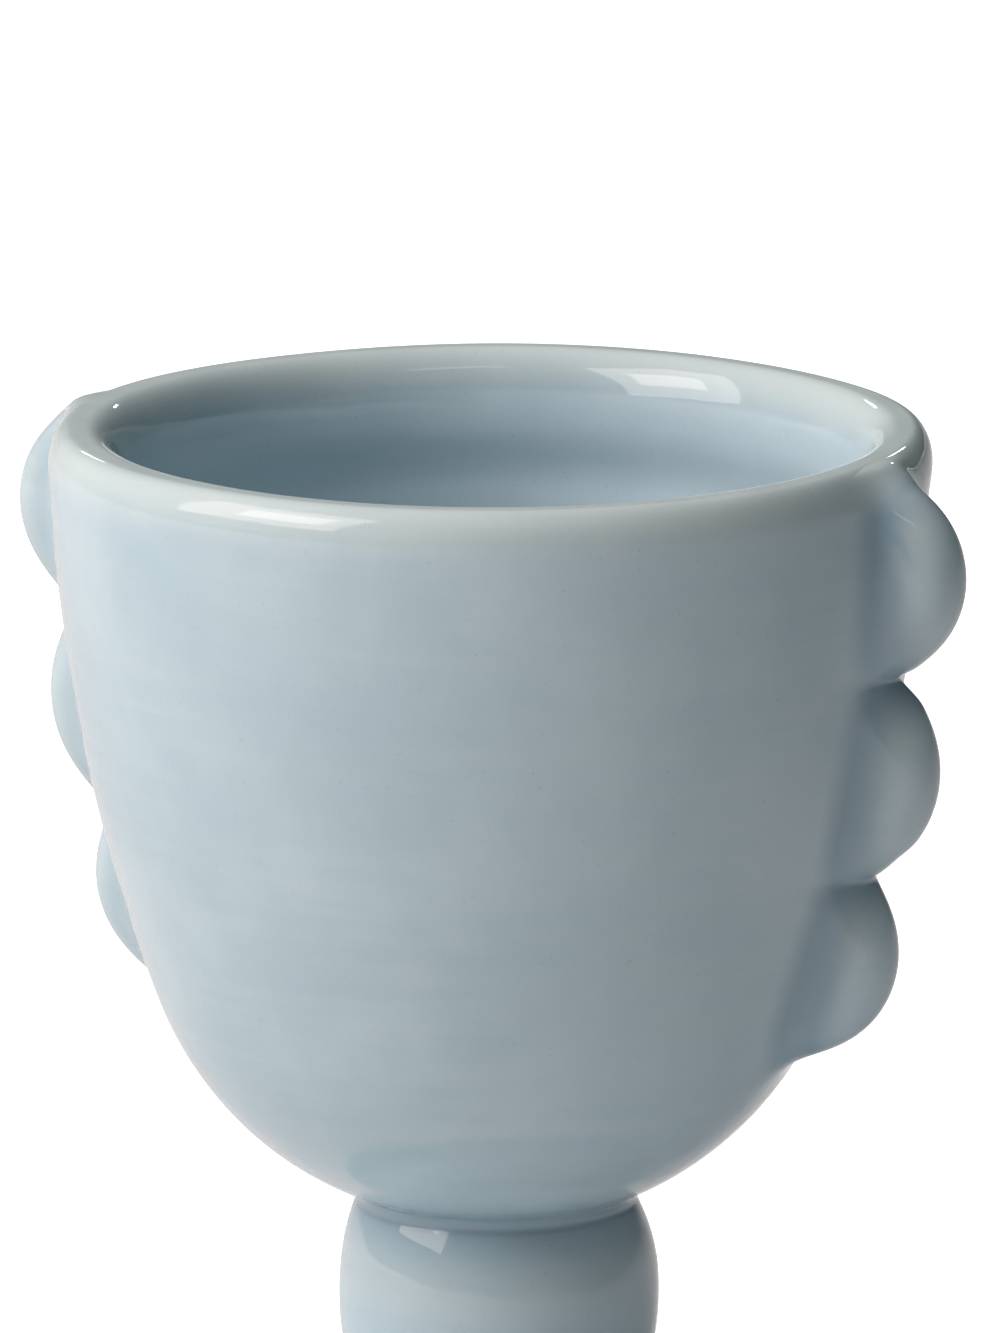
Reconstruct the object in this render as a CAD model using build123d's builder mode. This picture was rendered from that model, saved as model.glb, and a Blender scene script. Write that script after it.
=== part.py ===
"""Footed egg cup in glazed ceramic: a thrown bowl on a knop and a spreading foot, with a scalloped ear of
three pressed lobes on each side. Millimetres, +Z up, the origin at the centre of the ring it stands on."""

import os
from math import asin, degrees, sqrt

from build123d import *

os.makedirs("parts", exist_ok=True)

# Heights of the three thrown pieces
foot_height = 11.0
knop_height = 11.5
bowl_height = 47.5

# Bowl: a tall wall on a long arc, then a rounder base that runs in to the neck
rim_radius = 26.0
wall_arc_radius = 91.0
wall_thickness = 3.25
base_height = 14.0
floor_thickness = 3.5

# Rolled lip: a broad crest between an outer and an inner round
lip_outer_width = 1.5
lip_outer_drop = 2.5
lip_crest_width = 1.5
lip_inner_width = 0.8
lip_inner_drop = 3.0
lip_tail_length = 4.5

# Stem
neck_radius = 8.5
bowl_neck_land = 0.1
bowl_neck_round = 0.35
knop_radius = 9.65

# Foot
foot_radius = 20.0
foot_edge_round = 1.6
ring_width = 2.8
ring_edge_round = 0.6
recess_depth = 3.0

# Lobes: radius, reach beyond the bowl's wall, and overlap of neighbours' heights where a cleft parts them
upper_lobe_drop = 6.7
upper_lobe_radius = 6.3
upper_lobe_reach = 4.9
upper_cleft_overlap = 1.4
middle_lobe_radius = 7.0
middle_lobe_reach = 4.45
lower_cleft_overlap = 2.3
lower_lobe_radius = 6.3
lower_lobe_reach = 4.4
lobe_thickness = 5.4
root_round = 2.2
root_bite = 0.15

# Levels, radii and depths that the pieces share
knop_level = foot_height
bowl_level = knop_level + knop_height
crest_level = bowl_level + bowl_height
widest_level = crest_level - lip_outer_drop
base_level = bowl_level + base_height
neck_level = bowl_level + bowl_neck_land + bowl_neck_round
crest_radius = rim_radius - lip_outer_width
wall_center = rim_radius - wall_arc_radius
middle_lobe_drop = upper_lobe_drop + upper_lobe_radius + middle_lobe_radius - upper_cleft_overlap
lower_lobe_drop = middle_lobe_drop + middle_lobe_radius + lower_lobe_radius - lower_cleft_overlap


def outer_outline(inset):
    """Half section of the filled bowl, with its whole surface moved into the clay by inset."""
    lip = EllipticalCenterArc(
        (crest_radius, widest_level),
        lip_outer_width - inset,
        lip_outer_drop - inset,
        start_angle=90,
        arc_size=-90,
    )
    wall_turn = degrees(asin((widest_level - base_level) / wall_arc_radius))
    wall = JernArc(lip @ 1, (0, -1), wall_arc_radius - inset, -wall_turn)
    neck, bottom = neck_radius - inset, bowl_level + inset
    base = TangentArc(wall @ 1, (neck, neck_level), tangent=wall % 1)
    Polyline(base @ 1, (neck, bottom), (0, bottom), (0, (lip @ 0).Y), lip @ 0)


# The bowl's filled form, which the lobes are cut to, and a core inside it, which their roots run into
with BuildPart() as bowl_form:
    with BuildSketch(Plane.YZ) as bowl_section:
        with BuildLine():
            outer_outline(0)
        make_face()
        fillet(bowl_section.vertices().sort_by(Axis.Y)[2], bowl_neck_round)
    revolve(axis=Axis.Z)

with BuildPart() as bowl_core:
    with BuildSketch(Plane.YZ):
        with BuildLine():
            outer_outline(root_bite)
        make_face()
    revolve(axis=Axis.Z)

# Bowl: the filled form with an egg-shaped hollow turned out of it
hollow_radius = wall_arc_radius - wall_thickness
floor_level = bowl_level + floor_thickness
floor_depth = widest_level - floor_level
floor_round = (hollow_radius**2 - wall_center**2 - floor_depth**2) / (2 * (hollow_radius - floor_depth))
floor_turn = degrees(asin((floor_depth - floor_round) / (hollow_radius - floor_round)))
tail_level = crest_level - lip_inner_drop - lip_tail_length
tail_turn = degrees(asin((widest_level - tail_level) / hollow_radius))

with BuildPart() as bowl:
    add(bowl_form.part)
    with BuildSketch(Plane.YZ):
        with BuildLine():
            floor = CenterArc((0, floor_level + floor_round), floor_round, -90, 90 - floor_turn)
            side = JernArc(floor @ 1, floor % 1, hollow_radius, floor_turn - tail_turn)
            lip = EllipticalCenterArc(
                (crest_radius - lip_crest_width, crest_level - lip_inner_drop),
                lip_inner_width,
                lip_inner_drop,
                start_angle=180,
                arc_size=-90,
            )
            Spline(side @ 1, lip @ 0, tangents=(side % 1, (0, 1)))
            Polyline(lip @ 1, (0, crest_level), floor @ 0)
        make_face()
    revolve(axis=Axis.Z, mode=Mode.SUBTRACT)

# Knop: a barrel that narrows to the neck at both ends
with BuildPart() as knop:
    with BuildSketch(Plane.YZ):
        with BuildLine():
            barrel = Spline(
                (neck_radius, knop_level),
                (knop_radius, knop_level + knop_height / 2),
                (neck_radius, bowl_level),
            )
            Polyline(barrel @ 1, (0, bowl_level), (0, knop_level), barrel @ 0)
        make_face()
    revolve(axis=Axis.Z)

# Foot: a hollow curve out to a round edge, over a domed recess that leaves a flat ring to stand on
edge_center = foot_radius - foot_edge_round
ring_inner_radius = edge_center - ring_width

with BuildPart() as foot:
    with BuildSketch(Plane.YZ):
        with BuildLine():
            flare = EllipticalCenterArc(
                (edge_center, foot_height),
                edge_center - neck_radius,
                foot_height - 2 * foot_edge_round,
                start_angle=180,
                arc_size=90,
            )
            edge = CenterArc((edge_center, foot_edge_round), foot_edge_round, 90, -180)
            recess = EllipticalCenterArc(
                (0, 0), ring_inner_radius, recess_depth, start_angle=0, arc_size=90
            )
            Line(edge @ 1, recess @ 0)
            Polyline(recess @ 1, (0, foot_height), flare @ 0)
        make_face()
    revolve(axis=Axis.Z)
    ring_circles = foot.edges().filter_by(GeomType.CIRCLE).group_by(Axis.Z)[0]
    fillet(ring_circles.sort_by(SortBy.RADIUS)[0], ring_edge_round)

# Lobes: round-edged discs standing on the wall, rooted in a fillet and trimmed where two of them meet
lobe_sizes = {
    "upper": (upper_lobe_drop, upper_lobe_radius, upper_lobe_reach),
    "middle": (middle_lobe_drop, middle_lobe_radius, middle_lobe_reach),
    "lower": (lower_lobe_drop, lower_lobe_radius, lower_lobe_reach),
}
half_thickness = lobe_thickness / 2


def lobe_center(drop, radius, reach):
    """Centre of a lobe on the +X side: its radius, less its reach, lies inside the bowl's wall."""
    level = crest_level - drop
    wall = wall_center + sqrt(wall_arc_radius**2 - (widest_level - level) ** 2)
    return Vector(wall + reach - radius, 0, level)


def cleft_plane(above, below):
    """Plane through both places where the outlines of two neighbouring lobes cross, facing up."""
    upper, lower = lobe_center(*lobe_sizes[above]), lobe_center(*lobe_sizes[below])
    upper_radius, lower_radius = lobe_sizes[above][1], lobe_sizes[below][1]
    pitch = (upper - lower).length
    rise = (pitch**2 + lower_radius**2 - upper_radius**2) / (2 * pitch)
    rise_direction = (upper - lower).normalized()
    return Plane(lower + rise_direction * rise, x_dir=(0, 1, 0), z_dir=rise_direction)


upper_cleft = cleft_plane("upper", "middle")
lower_cleft = cleft_plane("middle", "lower")
lobe_trims = {
    "upper": [(upper_cleft, Keep.TOP)],
    "middle": [(upper_cleft, Keep.BOTTOM), (lower_cleft, Keep.TOP)],
    "lower": [(lower_cleft, Keep.BOTTOM)],
}

for name, (drop, radius, reach) in lobe_sizes.items():
    center = lobe_center(drop, radius, reach)
    with BuildPart() as right_lobe:
        add(bowl_core.part)
        with BuildSketch(Plane(center)):
            with BuildLine():
                edge = CenterArc((radius - half_thickness, 0), half_thickness, -90, 180)
                Polyline(edge @ 1, (0, half_thickness), (0, -half_thickness), edge @ 0)
            make_face()
        revolve(axis=Axis(center, (0, 1, 0)))
        fillet(right_lobe.edges(Select.NEW), root_round)
        add(bowl_form.part, mode=Mode.SUBTRACT)
        for plane, kept_side in lobe_trims[name]:
            split(bisect_by=plane, keep=kept_side)
    with BuildPart() as left_lobe:
        mirror(right_lobe.part, about=Plane.YZ)
    right_lobe.part.label = f"right_{name}_lobe"
    left_lobe.part.label = f"left_{name}_lobe"
    export_step(right_lobe.part, f"parts/right_{name}_lobe.step")
    export_step(left_lobe.part, f"parts/left_{name}_lobe.step")

bowl.part.label = "bowl"
knop.part.label = "knop"
foot.part.label = "foot"
export_step(bowl.part, "parts/bowl.step")
export_step(knop.part, "parts/knop.step")
export_step(foot.part, "parts/foot.step")
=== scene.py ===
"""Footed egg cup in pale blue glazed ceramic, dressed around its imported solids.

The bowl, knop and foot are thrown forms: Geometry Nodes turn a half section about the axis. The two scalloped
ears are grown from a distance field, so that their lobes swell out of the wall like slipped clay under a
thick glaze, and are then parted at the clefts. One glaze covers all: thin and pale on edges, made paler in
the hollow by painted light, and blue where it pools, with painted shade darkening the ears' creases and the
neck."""

from math import asin, atan, cos, degrees, pi, radians, sin

import bmesh
import bpy
from mathutils import Matrix, Vector


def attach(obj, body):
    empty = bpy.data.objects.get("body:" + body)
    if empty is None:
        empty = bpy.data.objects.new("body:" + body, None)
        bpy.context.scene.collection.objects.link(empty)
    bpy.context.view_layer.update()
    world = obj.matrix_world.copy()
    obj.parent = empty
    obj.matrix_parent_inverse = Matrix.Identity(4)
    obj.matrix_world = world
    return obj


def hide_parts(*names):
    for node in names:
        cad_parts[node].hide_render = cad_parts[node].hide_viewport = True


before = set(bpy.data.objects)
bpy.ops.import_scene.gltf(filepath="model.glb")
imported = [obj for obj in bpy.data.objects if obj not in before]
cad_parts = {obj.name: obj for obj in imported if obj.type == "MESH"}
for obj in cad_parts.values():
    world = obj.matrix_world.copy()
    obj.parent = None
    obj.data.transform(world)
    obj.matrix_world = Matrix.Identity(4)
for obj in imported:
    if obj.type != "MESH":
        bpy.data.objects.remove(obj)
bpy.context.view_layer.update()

# Sizes below are in millimetres, and meshes are worked in millimetres until they are brought to metres
MM = 0.001

# Heights of the thrown pieces
foot_height = 11.0
knop_height = 11.5
bowl_height = 47.5
knop_level = foot_height
bowl_level = knop_level + knop_height
crest_level = bowl_level + bowl_height

# Bowl
rim_radius = 26.0
wall_arc_radius = 91.0
wall_thickness = 3.25
base_height = 12.8
floor_thickness = 3.5
lip_outer_width = 1.35
lip_outer_drop = 2.5
lip_crest_width = 0.7
lip_inner_width = 2.0
lip_inner_drop = 4.4
lip_tail_length = 4.0
neck_radius = 8.5
neck_round = 0.75
crest_radius = rim_radius - lip_outer_width
widest_level = crest_level - lip_outer_drop
base_level = bowl_level + base_height
floor_level = bowl_level + floor_thickness
wall_center = rim_radius - wall_arc_radius
wall_turn = asin((widest_level - base_level) / wall_arc_radius)

# Knop and foot
knop_radius = 9.65
knop_power = 2.25
knop_lean = atan(knop_power * (knop_radius - neck_radius) / (knop_height / 2))
foot_radius = 20.0
foot_edge_round = 1.6
ring_width = 2.8
recess_depth = 3.0

# Meshes: a thrown piece's steps round the axis, the distance that welds two points, and a hard edge's angle
thrown_turns = 288
weld_distance = 0.001
hard_edge_angle = radians(55)

# Ears: each lobe's centre from the axis, its level and its radius, from the top lobe down
right_lobes = [(24.5, 63.2, 6.05), (22.2, 51.35, 6.8), (20.15, 40.2, 6.3)]
left_lobes = [(23.4, 63.5, 6.3), (20.95, 51.85, 7.2), (19.05, 40.8, 6.3)]
right_ear_turn = radians(-3.0)
left_ear_turn = radians(183.0)
lobe_thickness = 5.4
lobe_edge_depth = 2.3
lobe_crown = 0.12
lobe_names = ("Upper", "Middle", "Lower")
lobe_inputs = [f"{name} {size}" for name in lobe_names for size in ("Centre", "Level", "Radius")]

# How the lobes run into each other, into the wall and into the lip
cleft_blend = 0.7
root_blend = 4.6
root_narrowing = 0.35
root_narrowing_levels = (62.0, 68.0)
ear_sink = 0.008
ear_depth = 0.7
crest_sink = 0.004
crest_round = 0.5
crest_slope = 0.6

# Block that an ear is grown in, on the +X side
ear_corner = Vector((14.5, -7.4, 29.0))
ear_far_corner = Vector((31.2, 7.4, 70.6))
ear_voxel = 0.15
ear_probe = 0.02
least_steepness = 0.2

# How near a point counts as on the plane that parts two lobes, in metres
cut_tolerance = 1e-8

# Hand-made unevenness: a wobble of the whole form, a lean of the stem, and the rim and wall drawn to one side
wobble_scale = 0.045
wobble_size = 0.28
inset_share = 0.0024
stem_lean = 0.36
stem_lean_level = 16.0
left_pull = 0.75
right_spread = 0.25
right_press = 0.55
right_press_level = 55.0

# Glaze colours
deep_glaze = (0.374, 0.510, 0.566, 1)
light_glaze = (0.426, 0.560, 0.612, 1)
streak_glaze = (0.505, 0.590, 0.615, 1)
# Pooled glaze, darker with painted shade in the creases and at the neck
pool_and_shade_glaze = (0.220, 0.330, 0.400, 1)
# Painted light: paler glaze for the upper inside of the hollow
hollow_painted_light_glaze = (0.555, 0.690, 0.755, 1)
thin_glaze = (0.515, 0.600, 0.585, 1)
grain_glaze = (0.24, 0.31, 0.34, 1)
speck_glaze = (0.20, 0.24, 0.25, 1)

# Floor, surroundings and lamps, with lengths in metres
floor_reach = 6.0
floor_tone = 0.84
floor_shade = 0.24
floor_glow = 0.75
room_glow = 0.04
room_cool = (0.85, 1.0, 1.08, 1)
room_warm = (1, 0.95, 0.93, 1)
lamp_target = Vector((0, 0, 48 * MM))
warm_light = (1.0, 0.885, 0.86)
cool_light = (0.86, 0.97, 1.0)
white = (1, 1, 1, 1)

# Camera, in the frame of a photograph of 1000 by 1333 pixels
image_height = 1333
sensor_size = 36.0
focal_pixels = 13145.8
camera_distance = 764.7
camera_rise = 156.1
camera_azimuth = radians(22.7)
camera_pitch = radians(12.597)
camera_yaw = radians(0.0322)


# Node helpers
class Field:
    """A number inside a node tree, written in formulas as a plain number is."""

    def __init__(self, tree, socket):
        self.tree = tree
        self.socket = socket

    def math(self, operation, *others):
        node = self.tree.nodes.new("ShaderNodeMath")
        node.operation = operation
        for slot, value in zip(node.inputs, (self, *others)):
            plug(self.tree, slot, value)
        return Field(self.tree, node.outputs[0])

    def __add__(self, other):
        return self.math("ADD", other)

    def __sub__(self, other):
        return self.math("SUBTRACT", other)

    def __rsub__(self, other):
        return self.math("MULTIPLY_ADD", -1.0, other)

    def __mul__(self, other):
        return self.math("MULTIPLY", other)

    def __truediv__(self, other):
        return self.math("DIVIDE", other)

    def least(self, other):
        return self.math("MINIMUM", other)

    def most(self, other):
        return self.math("MAXIMUM", other)

    def over(self, other):
        return self.math("GREATER_THAN", other)

    def size(self):
        return self.math("ABSOLUTE")

    def ease(self, low, high):
        """Rises smoothly from 0 at low to 1 at high."""
        node = add(self.tree, "ShaderNodeMapRange", {"Value": self}, interpolation_type="SMOOTHSTEP")
        plug(self.tree, node.inputs["From Min"], low)
        plug(self.tree, node.inputs["From Max"], high)
        return Field(self.tree, node.outputs["Result"])


def plug(tree, slot, value):
    """Links a field or a socket to a node's input, or sets the input to a plain value."""
    if isinstance(value, Field):
        value = value.socket
    if isinstance(value, bpy.types.NodeSocket):
        tree.links.new(value, slot)
    else:
        slot.default_value = value


def add(tree, kind, inputs=(), **settings):
    """Adds a node, sets its properties and plugs values, fields or sockets into its inputs."""
    node = tree.nodes.new(kind)
    for name, value in settings.items():
        setattr(node, name, value)
    for name, value in dict(inputs).items():
        plug(tree, node.inputs[name], value)
    return node


def span(first, second):
    """Length of a line with these two legs."""
    return (first * first + second * second).math("SQRT")


def turned(x, y, angle):
    """The x and y of a point, seen by something that is turned by this angle."""
    return x * cos(angle) + y * sin(angle), y * cos(angle) - x * sin(angle)


def split_vector(tree, vector):
    """The x, y and z of a vector, as fields."""
    node = add(tree, "ShaderNodeSeparateXYZ", {"Vector": vector})
    return [Field(tree, output) for output in node.outputs]


def join_vector(tree, x, y, z):
    """A vector from its x, y and z."""
    return add(tree, "ShaderNodeCombineXYZ", {"X": x, "Y": y, "Z": z}).outputs[0]


def scaled(tree, vector, factor):
    """A vector times a number."""
    node = add(tree, "ShaderNodeVectorMath", {0: vector, "Scale": factor}, operation="SCALE")
    return node.outputs[0]


def blend(tree, factor, first, second):
    """A colour between two colours."""
    node = add(tree, "ShaderNodeMix", {0: factor, 6: first, 7: second}, data_type="RGBA")
    return node.outputs[2]


def ray_kinds(tree):
    """Whether the camera itself looks here, and whether a reflection or a clear piece does."""
    path = add(tree, "ShaderNodeLightPath")
    glossy = Field(tree, path.outputs["Is Glossy Ray"])
    transmitted = Field(tree, path.outputs["Is Transmission Ray"])
    return Field(tree, path.outputs["Is Camera Ray"]), glossy.most(transmitted)


def new_tree(name, inputs):
    """A Geometry Nodes tree, its geometry input, and its named inputs as fields."""
    tree = bpy.data.node_groups.new(name, "GeometryNodeTree")
    tree.interface.new_socket("Geometry", in_out="INPUT", socket_type="NodeSocketGeometry")
    tree.interface.new_socket("Geometry", in_out="OUTPUT", socket_type="NodeSocketGeometry")
    for label, kind in inputs.items():
        tree.interface.new_socket(label, in_out="INPUT", socket_type=f"NodeSocket{kind}")
    source = tree.nodes.new("NodeGroupInput")
    fields = {label: Field(tree, source.outputs[label]) for label in inputs}
    return tree, source.outputs["Geometry"], fields


def worked(name, tree, sizes, start=None):
    """Runs a tree with these sizes on a new object, which is left with the plain mesh that comes out."""
    piece = bpy.data.objects.new(name, start or bpy.data.meshes.new(name))
    bpy.context.scene.collection.objects.link(piece)
    modifier = piece.modifiers.new("Worked", "NODES")
    modifier.node_group = tree
    for item in tree.interface.items_tree:
        if item.in_out == "INPUT" and item.name in sizes:
            modifier[item.identifier] = sizes[item.name]
    graph = bpy.context.evaluated_depsgraph_get()
    mesh = bpy.data.meshes.new_from_object(piece.evaluated_get(graph), depsgraph=graph)
    piece.modifiers.remove(modifier)
    piece.data = mesh
    return piece


# Half sections
def arc(center, radii, start, end, steps):
    """Points on an elliptical arc, with angles in degrees from the outward direction."""
    turns = [radians(start + (end - start) * i / steps) for i in range(steps + 1)]
    return [(center[0] + radii[0] * cos(t), center[1] + radii[1] * sin(t)) for t in turns]


def bearing(center, point):
    """Angle of a point about a centre, in degrees from the outward direction."""
    from_center = Vector((point[0] - center[0], point[1] - center[1]))
    return degrees(from_center.angle_signed(Vector((1, 0))))


def glide(start, start_slope, end, end_slope, steps):
    """Points on a smooth curve that leaves start and reaches end along the given slopes."""
    points = []
    for i in range(steps + 1):
        t = i / steps
        weights = (2 * t**3 - 3 * t**2 + 1, t**3 - 2 * t**2 + t, 3 * t**2 - 2 * t**3, t**3 - t**2)
        parts = zip(weights, (start, start_slope, end, end_slope))
        points.append(tuple(sum((Vector(v) * w for w, v in parts), Vector((0, 0)))))
    return points


def base_arc():
    """Centre and radius of the bowl's round base, which leaves the wall and reaches the neck smoothly."""
    inward = Vector((-cos(wall_turn), sin(wall_turn)))
    wall_end = Vector((wall_center, widest_level)) - inward * wall_arc_radius
    from_neck = wall_end - Vector(neck_center)
    spare = from_neck.length_squared - neck_round**2
    radius = spare / (2 * (neck_round - inward.dot(from_neck)))
    return tuple(wall_end + inward * radius), radius


neck_center = (neck_radius + neck_round * cos(knop_lean), bowl_level + neck_round * sin(knop_lean))
base_center, base_arc_radius = base_arc()


def bowl_section():
    """Half section of the bowl, from under its neck, up the outside, over the lip and down to the floor."""
    wall_middle = (wall_center, widest_level)
    meeting = bearing(neck_center, base_center)
    leaving = bearing(base_center, neck_center)
    points = [(0, bowl_level), (neck_radius / 2, bowl_level)]
    points += arc(neck_center, (neck_round,) * 2, 180 + degrees(knop_lean), meeting, 18)
    points += arc(base_center, (base_arc_radius,) * 2, leaving, -degrees(wall_turn), 56)[1:]
    points += arc(wall_middle, (wall_arc_radius,) * 2, -degrees(wall_turn), 0, 70)[1:]
    points += arc((crest_radius, widest_level), (lip_outer_width, lip_outer_drop), 0, 90, 18)[1:]
    points += [(crest_radius - lip_crest_width * i / 4, crest_level) for i in range(1, 4)]
    inner_lip = (crest_radius - lip_crest_width, crest_level - lip_inner_drop)
    points += arc(inner_lip, (lip_inner_width, lip_inner_drop), 90, 180, 18)

    # Hollow: its wall keeps the wall's thickness, and its round floor is tangent to that wall
    hollow_radius = wall_arc_radius - wall_thickness
    floor_depth = widest_level - floor_level
    floor_round = (hollow_radius**2 - wall_center**2 - floor_depth**2) / (2 * (hollow_radius - floor_depth))
    floor_center = (0, floor_level + floor_round)
    floor_turn = bearing(wall_middle, floor_center)
    tail_level = inner_lip[1] - lip_tail_length
    tail_turn = -asin((widest_level - tail_level) / hollow_radius)
    tail = (wall_center + hollow_radius * cos(tail_turn), tail_level)
    tail_slope = (sin(tail_turn) * lip_tail_length, -cos(tail_turn) * lip_tail_length)
    points += glide(points[-1], (0, -lip_tail_length), tail, tail_slope, 12)[1:]
    points += arc(wall_middle, (hollow_radius,) * 2, degrees(tail_turn), floor_turn, 50)[1:]
    points += arc(floor_center, (floor_round,) * 2, floor_turn, -90, 44)[1:]
    return points


def knop_section():
    """Half section of the knop: a barrel that narrows to the neck at both ends."""
    middle, half = knop_level + knop_height / 2, knop_height / 2
    bulge = knop_radius - neck_radius
    steps = [i / 24 for i in range(-24, 25)]
    barrel = [(knop_radius - bulge * abs(t) ** knop_power, middle + half * t) for t in steps]
    bottom = [(0, knop_level), (neck_radius / 2, knop_level)]
    return bottom + barrel + [(neck_radius / 2, bowl_level), (0, bowl_level)]


def foot_section():
    """Half section of the foot, from its domed recess, round the edge and up the hollow curve to the stem."""
    edge_center = foot_radius - foot_edge_round
    ring_inner = edge_center - ring_width
    points = arc((0, 0), (ring_inner, recess_depth), 90, 0, 40)
    points += arc((edge_center, foot_edge_round), (foot_edge_round,) * 2, -90, 90, 24)
    flare = (edge_center - neck_radius, foot_height - 2 * foot_edge_round)
    points += arc((edge_center, foot_height), flare, 270, 180, 48)[1:]
    return points + [(neck_radius / 2, foot_height), (0, foot_height)]


def section_mesh(name, points):
    """A half section as a chain of points in the XZ plane."""
    mesh = bpy.data.meshes.new(name)
    mesh.from_pydata([(r, 0, z) for r, z in points], [(i, i + 1) for i in range(len(points) - 1)], [])
    return mesh


# Distances that shape the ears and tell where glaze runs thin or pools
def wall_distance(r, z):
    """Distance of a point from the bowl's outer surface, below zero inside it."""
    wall = span(r - wall_center, z - widest_level) - wall_arc_radius
    base = span(r - base_center[0], z - base_center[1]) - base_arc_radius
    lip_out = (r - crest_radius).most(0.0) / lip_outer_width
    lip = (span(lip_out, (z - widest_level) / lip_outer_drop) - 1.0) * lip_outer_width
    on_base = ((widest_level - z) * cos(wall_turn)).over((r - wall_center) * sin(wall_turn))
    on_lip = z.over(widest_level)
    return wall + on_base * (base - wall) + on_lip * (lip - wall)


def lobe_distances(x, y, z, lobes):
    """Distance of a point from each lobe of an ear on the +X side: a disc with a soft round edge."""
    distances = []
    for center, level, radius in lobes:
        reach = span(x - center, z - level)
        edge = (reach - (radius - lobe_edge_depth)).most(0.0)
        crown = (reach / radius).math("POWER", 2.0) * lobe_crown + 1.0
        side = y * crown * (2 * lobe_edge_depth / lobe_thickness)
        distances.append(span(edge, side) - lobe_edge_depth)
    return distances


def ear_distances(x, y, z, lobes):
    """Distances from the joined lobes, from the bowl's wall, and from the ear's own skin."""
    r = span(x, y)
    wall = wall_distance(r, z)
    upper, middle, lower = lobe_distances(x, y, z, lobes)
    joined = upper.math("SMOOTH_MIN", middle, cleft_blend).math("SMOOTH_MIN", lower, cleft_blend)
    root = (1.0 - z.ease(*root_narrowing_levels) * root_narrowing) * root_blend
    skin = joined.math("SMOOTH_MIN", wall + ear_sink, root)
    skin = skin.math("SMOOTH_MAX", z - (crest_level - crest_sink), crest_round)
    past_crest = crest_radius - r - (crest_level - z) * crest_slope
    kept = skin.most(joined - root_blend).most(-ear_depth - wall).most(past_crest)
    return joined, wall, kept


# Geometry Nodes trees
def glaze_run(tree, geometry):
    """Stores where the glaze runs thin, where it pools and painted shade darkens the creases and the neck,
    and where painted light pales the hollow, each eased over some millimetres.
    """
    position = add(tree, "GeometryNodeInputPosition").outputs[0]
    x, y, z = split_vector(tree, position)
    r = span(x, y)

    # Thin on the lip, the edge of the foot and the shoulder of the knop
    from_lip = span(r - crest_radius + lip_crest_width / 2, z - crest_level + 0.8)
    from_foot_edge = span(r - foot_radius, z - foot_edge_round)
    from_shoulder = span(r - knop_radius, z - bowl_level + 3.4)
    thin = 1.0 - from_lip.ease(1.2, 2.9)
    thin = thin.most(1.0 - from_foot_edge.ease(0.5, 2.2))
    thin = thin.most((1.0 - from_shoulder.ease(0.5, 2.6)) * 0.35)

    # Pooled glaze and painted shade above and below the knop, and pooled glaze on the floor of the hollow
    from_upper_neck = span(r - neck_radius - 0.6, z - bowl_level - 0.7)
    from_lower_neck = span(r - neck_radius, z - knop_level - 0.2)
    from_floor = span(r, z - floor_level)
    pool_and_shade = (1.0 - from_upper_neck.ease(0.5, 2.6)) * z.ease(bowl_level - 0.6, bowl_level)
    pool_and_shade = pool_and_shade.most(1.0 - from_lower_neck.ease(0.3, 2.4))
    pool_and_shade = pool_and_shade.most(1.0 - from_floor.ease(5.0, 14.0))

    # Pooled glaze and painted shade in the creases of the ears, less so on the lit left, and thin on the
    # upper edges of their lobes
    for lobes, turn, pool_and_shade_share in ((right_lobes, right_ear_turn, 1.0), (left_lobes, left_ear_turn, 0.3)):
        ear_x, ear_y = turned(x, y, turn)
        joined, wall, _ = ear_distances(ear_x, ear_y, z, lobes)
        reach = joined.size() + wall.size()
        crease = (1.0 - (joined - wall + 0.8).size().ease(0.8, 3.0)) * pool_and_shade_share
        below_lip = 1.0 - z.ease(67.0, 69.0)
        pool_and_shade = pool_and_shade.most(crease * (1.0 - reach.ease(2.2, 4.6)) * below_lip)
        for center, level, radius in lobes:
            out = span(ear_x - center, z - level)
            edge = out.ease(radius - 2.6, radius - 1.3) * wall.ease(0.8, 2.6)
            short_of_rim = 1.0 - out.ease(radius - 1.0, radius) * 0.6
            upward = (z - level).ease(-3.0, 4.0)
            thin = thin.most(edge * short_of_rim * upward * 0.7)

    # Painted light: the upper inside of the hollow is made paler
    hollow_painted_light = (0.0 - wall_distance(r, z)).ease(1.8, 3.0) * z.ease(floor_level + 8.0, floor_level + 26.0)
    for name, field in (("thin", thin), ("pool_and_shade", pool_and_shade), ("hollow_painted_light", hollow_painted_light)):
        stored = {"Geometry": geometry, "Name": name, "Value": field}
        geometry = add(tree, "GeometryNodeStoreNamedAttribute", stored, data_type="FLOAT", domain="POINT")
        geometry = geometry.outputs[0]
    return geometry


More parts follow.
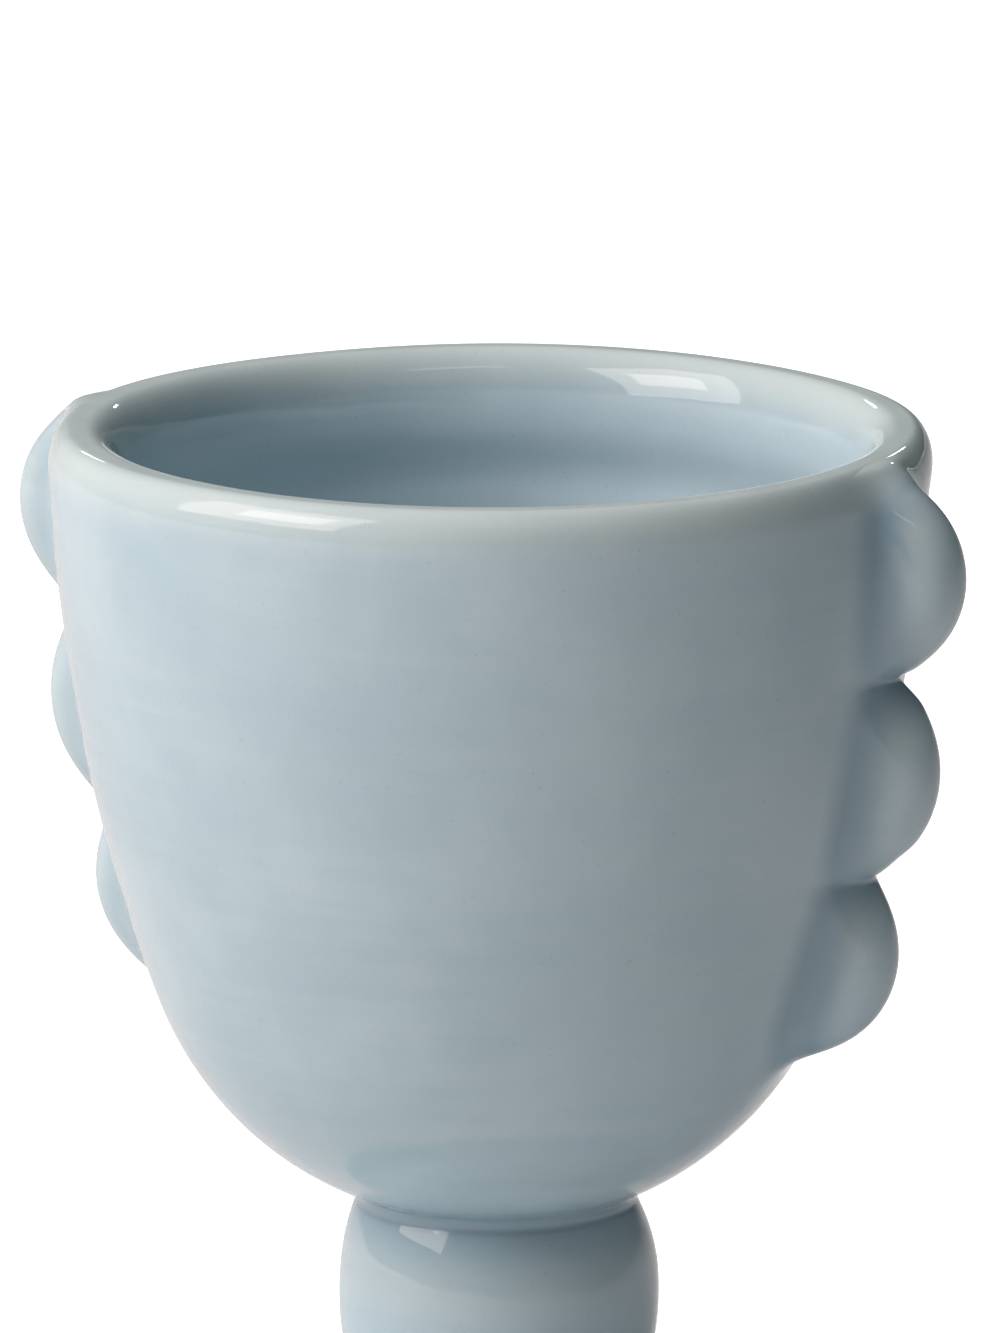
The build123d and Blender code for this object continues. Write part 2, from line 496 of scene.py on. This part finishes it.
def hand_feel(tree, geometry):
    """Gives all the pieces one slight unevenness of form, and brings them from millimetres to metres."""
    position = add(tree, "GeometryNodeInputPosition").outputs[0]
    across, along, height = split_vector(tree, position)
    from_axis = span(across, along)
    noise = add(tree, "ShaderNodeTexNoise", {"Vector": position, "Scale": wobble_scale, "Detail": 1.0})
    x, y, z = split_vector(tree, noise.outputs["Color"])
    wobble = height.ease(0.0, 12.0) * wobble_size
    inset = split_vector(tree, scaled(tree, position, -inset_share))

    # Sideways as the camera sees it: the stem leans, the rim is drawn out, the wall is pressed in by the ear
    rightward, _ = turned(across, along, camera_azimuth)
    leftward = 0.0 - rightward
    lean = (1.0 - (height - stem_lean_level).size().ease(2.0, 11.0)) * stem_lean
    pulled = leftward.ease(12.0, 25.0) * height.ease(50.0, 78.0) * from_axis.ease(22.5, 25.5) * left_pull
    near_wall = from_axis.ease(22.5, 25.0) * (1.0 - from_axis.ease(26.3, 27.6))
    spread = rightward.ease(20.0, 25.0) * height.ease(65.0, 69.5) * right_spread
    from_press = (height - right_press_level).size()
    pressed = rightward.ease(22.0, 25.0) * (1.0 - from_press.ease(4.0, 13.0)) * right_press
    sideways = lean - pulled + (spread - pressed) * near_wall

    # Upwards the wobble is weaker and mostly sinks, so that the rim stays under the solid's top
    offset_x = (x - 0.5) * wobble + inset[0] + sideways * cos(camera_azimuth)
    offset_y = (y - 0.5) * wobble + inset[1] + sideways * sin(camera_azimuth)
    offset_z = (z - 0.72) * wobble * 0.6
    offset = join_vector(tree, offset_x, offset_y, offset_z)
    moved = add(tree, "GeometryNodeSetPosition", {"Geometry": geometry, "Offset": offset})
    in_metres = {"Geometry": moved.outputs[0], "Scale": (MM, MM, MM)}
    return add(tree, "GeometryNodeTransform", in_metres).outputs[0]


def finish_tree(tree, geometry, material):
    """Ends a tree: glaze, unevenness, smooth shading, plain geometry and its material."""
    geometry = hand_feel(tree, glaze_run(tree, geometry))
    geometry = add(tree, "GeometryNodeSetShadeSmooth", {"Geometry": geometry}).outputs[0]
    geometry = add(tree, "GeometryNodeRealizeInstances", {"Geometry": geometry}).outputs[0]
    painted = add(tree, "GeometryNodeSetMaterial", {"Geometry": geometry, "Material": material})
    add(tree, "NodeGroupOutput", {"Geometry": painted.outputs[0]})


def thrown_form_tree(material):
    """Turns a half section about the axis, with the section's points in order from the bottom outwards."""
    tree, section, sizes = new_tree("thrown_form", {"Turns": "Int", "Weld": "Float"})
    count = Field(tree, add(tree, "GeometryNodeAttributeDomainSize", {"Geometry": section}).outputs[0])
    grid = add(tree, "GeometryNodeMeshGrid", {"Vertices X": sizes["Turns"] + 1.0, "Vertices Y": count})
    index = Field(tree, add(tree, "GeometryNodeInputIndex").outputs[0])
    turn = ((index + 0.5) / count).math("FLOOR")
    step = index - turn * count
    angle = turn / sizes["Turns"] * (2 * pi)
    position = add(tree, "GeometryNodeInputPosition").outputs[0]
    levels = {}
    for name, field in zip("XYZ", split_vector(tree, position)):
        sample = {"Geometry": section, "Value": field, "Index": step.math("ROUND")}
        levels[name] = Field(tree, add(tree, "GeometryNodeSampleIndex", sample).outputs[0])
    x, y = levels["X"] * angle.math("COSINE"), levels["X"] * angle.math("SINE")
    place = join_vector(tree, x, y, levels["Z"])
    thrown = add(tree, "GeometryNodeSetPosition", {"Geometry": grid.outputs[0], "Position": place})
    weld = {"Geometry": thrown.outputs[0], "Distance": sizes["Weld"]}
    finish_tree(tree, add(tree, "GeometryNodeMergeByDistance", weld).outputs[0], material)
    return tree


def ear_tree(material):
    """Grows an ear of three lobes on the +X side of the wall, then turns it to its place round the bowl."""
    tree, _, sizes = new_tree("scalloped_ear", {name: "Float" for name in lobe_inputs + ["Turn"]})
    values = [sizes[name] for name in lobe_inputs]
    lobes = [values[0:3], values[3:6], values[6:9]]
    position = add(tree, "GeometryNodeInputPosition").outputs[0]
    x, y, z = split_vector(tree, position)
    counts = [round(length / ear_voxel) for length in ear_far_corner - ear_corner]
    block = add(
        tree,
        "GeometryNodeVolumeCube",
        {
            "Density": 1.0 - ear_distances(x, y, z, lobes)[2],
            "Background": 0.0,
            "Min": ear_corner,
            "Max": ear_far_corner,
            "Resolution X": counts[0],
            "Resolution Y": counts[1],
            "Resolution Z": counts[2],
        },
    )
    skin = add(tree, "GeometryNodeVolumeToMesh", {"Volume": block.outputs[0], "Threshold": 1.0})
    geometry = skin.outputs[0]

    # Two steps down the slope of the field bring every point onto the true skin
    for _ in range(2):
        here = ear_distances(x, y, z, lobes)[2]
        slope_x = (ear_distances(x + ear_probe, y, z, lobes)[2] - here) / ear_probe
        slope_y = (ear_distances(x, y + ear_probe, z, lobes)[2] - here) / ear_probe
        slope_z = (ear_distances(x, y, z + ear_probe, lobes)[2] - here) / ear_probe
        steepness = slope_x * slope_x + slope_y * slope_y + slope_z * slope_z
        back = (0.0 - here) / steepness.most(least_steepness)
        offset = join_vector(tree, slope_x * back, slope_y * back, slope_z * back)
        geometry = add(tree, "GeometryNodeSetPosition", {"Geometry": geometry, "Offset": offset}).outputs[0]
    turn = add(tree, "FunctionNodeEulerToRotation", {0: join_vector(tree, 0.0, 0.0, sizes["Turn"])})
    placed = add(tree, "GeometryNodeTransform", {"Geometry": geometry, "Rotation": turn.outputs[0]})
    finish_tree(tree, placed.outputs[0], material)
    return tree


# Glaze
def glaze_material():
    """A glossy blue glaze, clouded and faintly ringed from the wheel, with fine specks."""
    material = bpy.data.materials.new("celadon_glaze")
    material.use_nodes = True
    tree = material.node_tree
    shader = tree.nodes["Principled BSDF"]
    coordinates = add(tree, "ShaderNodeTexCoord").outputs["Object"]
    place = scaled(tree, coordinates, 1 / MM)
    thin = Field(tree, add(tree, "ShaderNodeAttribute", attribute_name="thin").outputs["Fac"])
    pool_and_shade = Field(tree, add(tree, "ShaderNodeAttribute", attribute_name="pool_and_shade").outputs["Fac"])
    hollow_painted_light = Field(tree, add(tree, "ShaderNodeAttribute", attribute_name="hollow_painted_light").outputs["Fac"])

    def noise(vector, scale, detail, roughness=0.5):
        inputs = {"Vector": vector, "Scale": scale, "Detail": detail, "Roughness": roughness}
        return Field(tree, add(tree, "ShaderNodeTexNoise", inputs).outputs["Fac"])

    # Patterns: broad clouds, level rings and a fine grain
    x, y, z = split_vector(tree, place)
    ringed = join_vector(tree, x * 0.06, y * 0.06, z * 0.9)
    cloud = noise(place, 0.09, 3.0, 0.55)
    rings = noise(ringed, 1.0, 3.0, 0.6)
    grain = noise(place, 2.6, 2.0, 0.6)

    # Colour
    gathered_pool_and_shade = (pool_and_shade * (cloud * 0.5 + 0.7)).least(1.0)
    worn = (thin * (grain * 0.5 + cloud * 0.6 + 0.35)).least(1.0)
    body = blend(tree, cloud.ease(0.3, 0.7), deep_glaze, light_glaze)
    body = blend(tree, rings.ease(0.35, 0.75) * 0.16, body, streak_glaze)
    # Pooled glaze, with painted shade in the ears' creases and at the neck
    body = blend(tree, gathered_pool_and_shade * 0.85, body, pool_and_shade_glaze)
    # Painted light paling the upper inside of the hollow
    body = blend(tree, hollow_painted_light * 0.42, body, hollow_painted_light_glaze)
    body = blend(tree, worn * 0.8, body, thin_glaze)
    body = blend(tree, grain.ease(0.62, 0.8) * 0.22, body, grain_glaze)
    speck_cell = add(tree, "ShaderNodeTexVoronoi", {"Vector": place, "Scale": 1.1})
    speck_chance = split_vector(tree, speck_cell.outputs["Color"])[0]
    speck_size = speck_chance.ease(0.72, 1.0) * 0.11
    speck = speck_size.over(Field(tree, speck_cell.outputs["Distance"]))
    body = blend(tree, speck * 0.2, body, speck_glaze)
    plug(tree, shader.inputs["Base Color"], body)

    # Gloss, with a slight swell in the surface
    plug(tree, shader.inputs["Roughness"], noise(place, 0.5, 2.0) * 0.03 + 0.03)
    shader.inputs["IOR"].default_value = 1.52
    swell = noise(place, 0.16, 1.0) * 1.6 + noise(ringed, 0.6, 1.0) * 0.5 + noise(place, 0.9, 2.0) * 0.05
    bump = add(tree, "ShaderNodeBump", {"Strength": 0.35, "Distance": 0.25 * MM, "Height": swell})
    plug(tree, shader.inputs["Normal"], bump.outputs[0])
    return material


# Pieces
def dress(piece, node):
    """Puts a piece on the body in place of its solid."""
    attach(piece, "root")
    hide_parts(node)


def keep_edges(mesh):
    """Keeps the hard edges hard where pieces are cut off, and shades the rest smooth."""
    mesh.set_sharp_from_angle(angle=hard_edge_angle)


def thrown_pieces(material):
    """The bowl, the knop and the foot."""
    tree = thrown_form_tree(material)
    sizes = {"Turns": thrown_turns, "Weld": weld_distance}
    sections = {"bowl": bowl_section(), "knop": knop_section(), "foot": foot_section()}
    for name, points in sections.items():
        piece = worked(f"{name}_glazed", tree, sizes, section_mesh(name, points))
        keep_edges(piece.data)
        dress(piece, name)


def cleft(above, below):
    """Point and upward direction of the plane through the places where two lobes' outlines cross."""
    upper, lower = Vector((above[0], 0, above[1])), Vector((below[0], 0, below[1]))
    pitch = (upper - lower).length
    up = (upper - lower).normalized()
    rise = (pitch**2 + below[2] ** 2 - above[2] ** 2) / (2 * pitch)
    return lower + up * rise, up


def parted(ear, name, cuts, material):
    """A copy of the ear, trimmed by planes that each keep the side that they face, and closed again."""
    shape = bmesh.new()
    shape.from_mesh(ear.data)
    for point, facing in cuts:
        everything = shape.verts[:] + shape.edges[:] + shape.faces[:]
        bmesh.ops.bisect_plane(
            shape, geom=everything, plane_co=point, plane_no=facing, clear_inner=True, dist=cut_tolerance
        )
        rim = [edge for edge in shape.edges if edge.is_boundary]
        capped = bmesh.ops.holes_fill(shape, edges=rim, sides=0)["faces"]
        for face in capped:
            face.smooth = False
        bmesh.ops.triangulate(shape, faces=capped)
    mesh = bpy.data.meshes.new(name)
    shape.to_mesh(mesh)
    shape.free()
    mesh.materials.clear()
    mesh.materials.append(material)
    mesh.polygons.foreach_set("material_index", [0] * len(mesh.polygons))
    keep_edges(mesh)
    piece = bpy.data.objects.new(name, mesh)
    bpy.context.scene.collection.objects.link(piece)
    return piece


def ears(material):
    """Both ears, each parted into its three lobes."""
    tree = ear_tree(material)
    for side, lobes, turn in (("right", right_lobes, right_ear_turn), ("left", left_lobes, left_ear_turn)):
        sizes = dict(zip(lobe_inputs, [size for lobe in lobes for size in lobe]))
        ear = worked(f"{side}_ear", tree, {**sizes, "Turn": turn})
        placed = Matrix.Rotation(turn, 3, "Z")
        upper_point, upper_up = cleft(lobes[0], lobes[1])
        lower_point, lower_up = cleft(lobes[1], lobes[2])
        upper_cut, lower_cut = placed @ upper_point * MM, placed @ lower_point * MM
        upper_up, lower_up = placed @ upper_up, placed @ lower_up
        trims = {
            "upper": [(upper_cut, upper_up)],
            "middle": [(upper_cut, -upper_up), (lower_cut, lower_up)],
            "lower": [(lower_cut, -lower_up)],
        }
        for name, cuts in trims.items():
            dress(parted(ear, f"{side}_{name}_lobe_glazed", cuts, material), f"{side}_{name}_lobe")
        bpy.data.objects.remove(ear)


# Floor, lights and camera
def sweep_floor():
    """A pale floor, darkened towards the right by painted shade, that stays white to the camera and keeps the
    cup's shadow.
    """
    near, far = -floor_reach, floor_reach
    mesh = bpy.data.meshes.new("floor")
    mesh.from_pydata([(near, near, 0), (far, near, 0), (far, far, 0), (near, far, 0)], [], [(0, 1, 2, 3)])
    floor = bpy.data.objects.new("floor", mesh)
    bpy.context.scene.collection.objects.link(floor)
    material = bpy.data.materials.new("pale_floor")
    material.use_nodes = True
    tree = material.node_tree
    shader = tree.nodes["Principled BSDF"]
    shader.inputs["Roughness"].default_value = 0.9
    shader.inputs["Specular IOR Level"].default_value = 0.1
    x, y, _ = split_vector(tree, add(tree, "ShaderNodeTexCoord").outputs["Object"])
    right, away = turned(x, y, camera_azimuth)
    # Painted shade: the floor's colour darkens towards the camera's right
    tone = floor_tone - right.ease(-0.10, 0.25) * floor_shade
    plug(tree, shader.inputs["Base Color"], join_vector(tree, tone, tone, tone))
    camera, mirrored = ray_kinds(tree)
    seen = camera.most(mirrored * away.ease(2.0, 3.0))
    shader.inputs["Emission Color"].default_value = white
    plug(tree, shader.inputs["Emission Strength"], seen * floor_glow)
    mesh.materials.append(material)


def studio_world():
    """Soft grey surroundings, brighter and warmer on the left, and white to the camera."""
    world = bpy.data.worlds.new("studio")
    bpy.context.scene.world = world
    world.use_nodes = True
    tree = world.node_tree
    background = tree.nodes["Background"]
    x, y, z = split_vector(tree, add(tree, "ShaderNodeTexCoord").outputs["Generated"])
    right, away = turned(x, y, camera_azimuth)
    left = (0.0 - right).ease(-0.3, 0.7)
    low = 1.0 - z.size().ease(0.2, 0.6)
    left_wall = left * (away.ease(0.2, 0.9) * low * 0.3 + 0.22)
    right_wall = right.ease(0.5, 0.95) * 0.03
    ceiling = z.ease(0.5, 1.0) * 0.23
    surroundings = left_wall + right_wall + room_glow + ceiling
    camera, mirrored = ray_kinds(tree)
    seen = camera.most(mirrored * away.ease(0.996, 0.999))
    side = blend(tree, left, room_cool, room_warm)
    plug(tree, background.inputs["Color"], blend(tree, seen, side, white))
    plug(tree, background.inputs["Strength"], surroundings.most(seen))


def softbox(name, azimuth, elevation, distance, width, height, power, color=(1, 1, 1), mirrored=True):
    """A rectangular lamp that faces the bowl, at an azimuth from the camera's own, positive to its right."""
    around = camera_azimuth + radians(azimuth)
    rise = radians(elevation)
    away = Vector((sin(around) * cos(rise), -cos(around) * cos(rise), sin(rise)))
    lamp = bpy.data.lights.new(name, "AREA")
    lamp.shape = "RECTANGLE"
    lamp.size = width
    lamp.size_y = height
    lamp.energy = power
    lamp.color = color
    light = bpy.data.objects.new(name, lamp)
    light.visible_glossy = mirrored
    light.location = lamp_target + away * distance
    light.rotation_euler = away.to_track_quat("Z", "Y").to_euler()
    bpy.context.scene.collection.objects.link(light)


def studio_lights():
    """A window on the left, soft light beside and above it, a weak front lamp and two small back lamps."""
    # Name, azimuth, elevation, distance, width, height and power
    softbox("window", -64, 32, 1.3, 1.0, 0.8, 8.1, warm_light)
    softbox("window_core", -60, 32, 1.28, 0.5, 0.34, 1.9, warm_light)
    softbox("side_wall", -98, 41, 1.5, 1.8, 1.4, 10.4, warm_light, mirrored=False)
    softbox("high_left", -70, 62, 1.5, 0.9, 0.5, 8.8, warm_light, mirrored=False)
    softbox("front_lamp", 12, 45, 1.6, 0.8, 0.07, 0.42, cool_light)
    softbox("back_left", -168, 21, 1.6, 0.1, 0.06, 0.16)
    softbox("back_right", 165, 21, 1.6, 0.1, 0.06, 0.16)


def photo_camera():
    """A camera at the photograph's place and angle, with its framing."""
    lens = bpy.data.cameras.new("camera")
    lens.sensor_width = sensor_size
    lens.lens = focal_pixels / image_height * sensor_size
    lens.clip_start = 0.05
    camera = bpy.data.objects.new("camera", lens)
    around = Vector((sin(camera_azimuth), -cos(camera_azimuth), 0))
    camera.location = (around * camera_distance + Vector((0, 0, crest_level + camera_rise))) * MM
    camera.rotation_euler = (pi / 2 - camera_pitch, 0, camera_azimuth - camera_yaw)
    bpy.context.scene.collection.objects.link(camera)
    bpy.context.scene.camera = camera


glaze = glaze_material()
thrown_pieces(glaze)
ears(glaze)
sweep_floor()
studio_world()
studio_lights()
photo_camera()
bpy.context.scene.view_settings.view_transform = "Standard"
